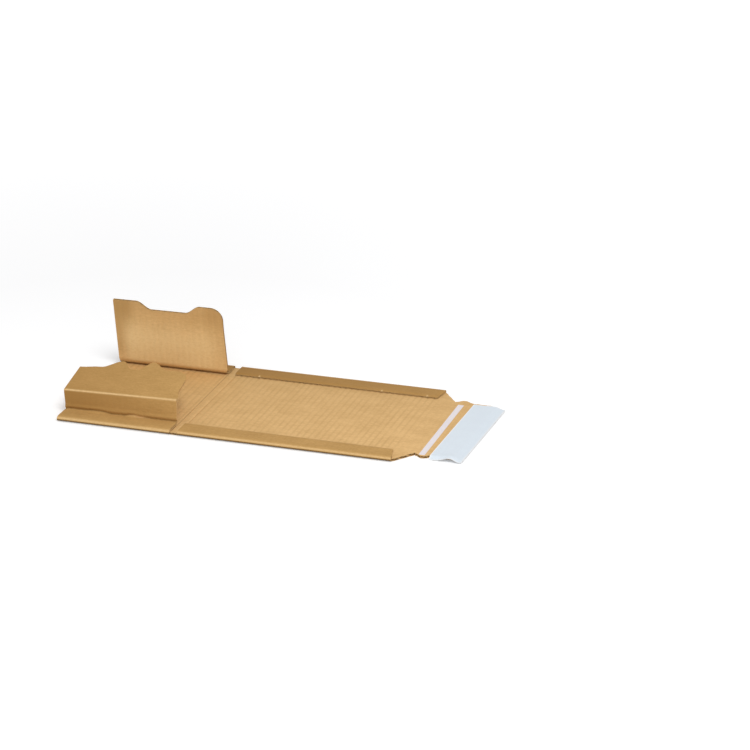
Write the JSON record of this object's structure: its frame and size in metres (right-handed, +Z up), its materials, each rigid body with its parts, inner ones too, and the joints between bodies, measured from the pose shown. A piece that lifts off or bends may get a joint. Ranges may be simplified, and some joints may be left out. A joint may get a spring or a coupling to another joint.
{
  "type": "corrugated wrap mailer",
  "caption": "Open wrap-around mailer of corrugated board: a base with doubled edges, creased front flap and cover, back flap, and a wrap panel with tear strip and release liner.",
  "frame": {"origin": "middle of the underside of the base panel, between the two strips", "axes": "+X along the mailer from the base to the seal flap, +Y across it towards the back flap, +Z up"},
  "size_m": [0.438, 0.199, 0.0818],
  "materials": {
    "kraft_inside": "matt kraft facing, the lighter inner side of the board",
    "kraft_outside": "matt kraft facing, the darker outer side of the board",
    "tear_tape": "smooth white film tape",
    "adhesive": "tacky hot-melt adhesive",
    "release_paper": "smooth silicone-coated white paper"
  },
  "bodies": {
    "base": {"base_panel": "kraft_inside"},
    "front_wall": {"front_wall": "kraft_outside"},
    "front_cover": {"front_cover": "kraft_outside"},
    "back_flap": {"back_flap": "kraft_inside"},
    "wrap": {"wrap_panel": "kraft_inside", "tear_strip": "tear_tape", "adhesive_band": "adhesive", "release_liner": "release_paper"}
  },
  "joints": [
    {"name": "wrap_fold", "type": "hinge", "parent": "base", "child": "wrap", "pos_m": [0.06735, 0, 0.0014], "axis": [0, -1, 0], "range_deg": [0, 90]},
    {"name": "front_wall_fold", "type": "hinge", "parent": "base", "child": "front_wall", "pos_m": [0, -0.0755, 0.00575], "axis": [1, 0, 0], "range_deg": [-5, 88]},
    {"name": "front_cover_fold", "type": "hinge", "parent": "front_wall", "child": "front_cover", "pos_m": [0, -0.0741, 0.02795], "axis": [1, 0, 0], "range_deg": [-16, 76]},
    {"name": "back_flap_fold", "type": "hinge", "parent": "base", "child": "back_flap", "pos_m": [0, 0.0755, 0.00575], "axis": [1, 0, 0], "range_deg": [-97, 79]}
  ]
}
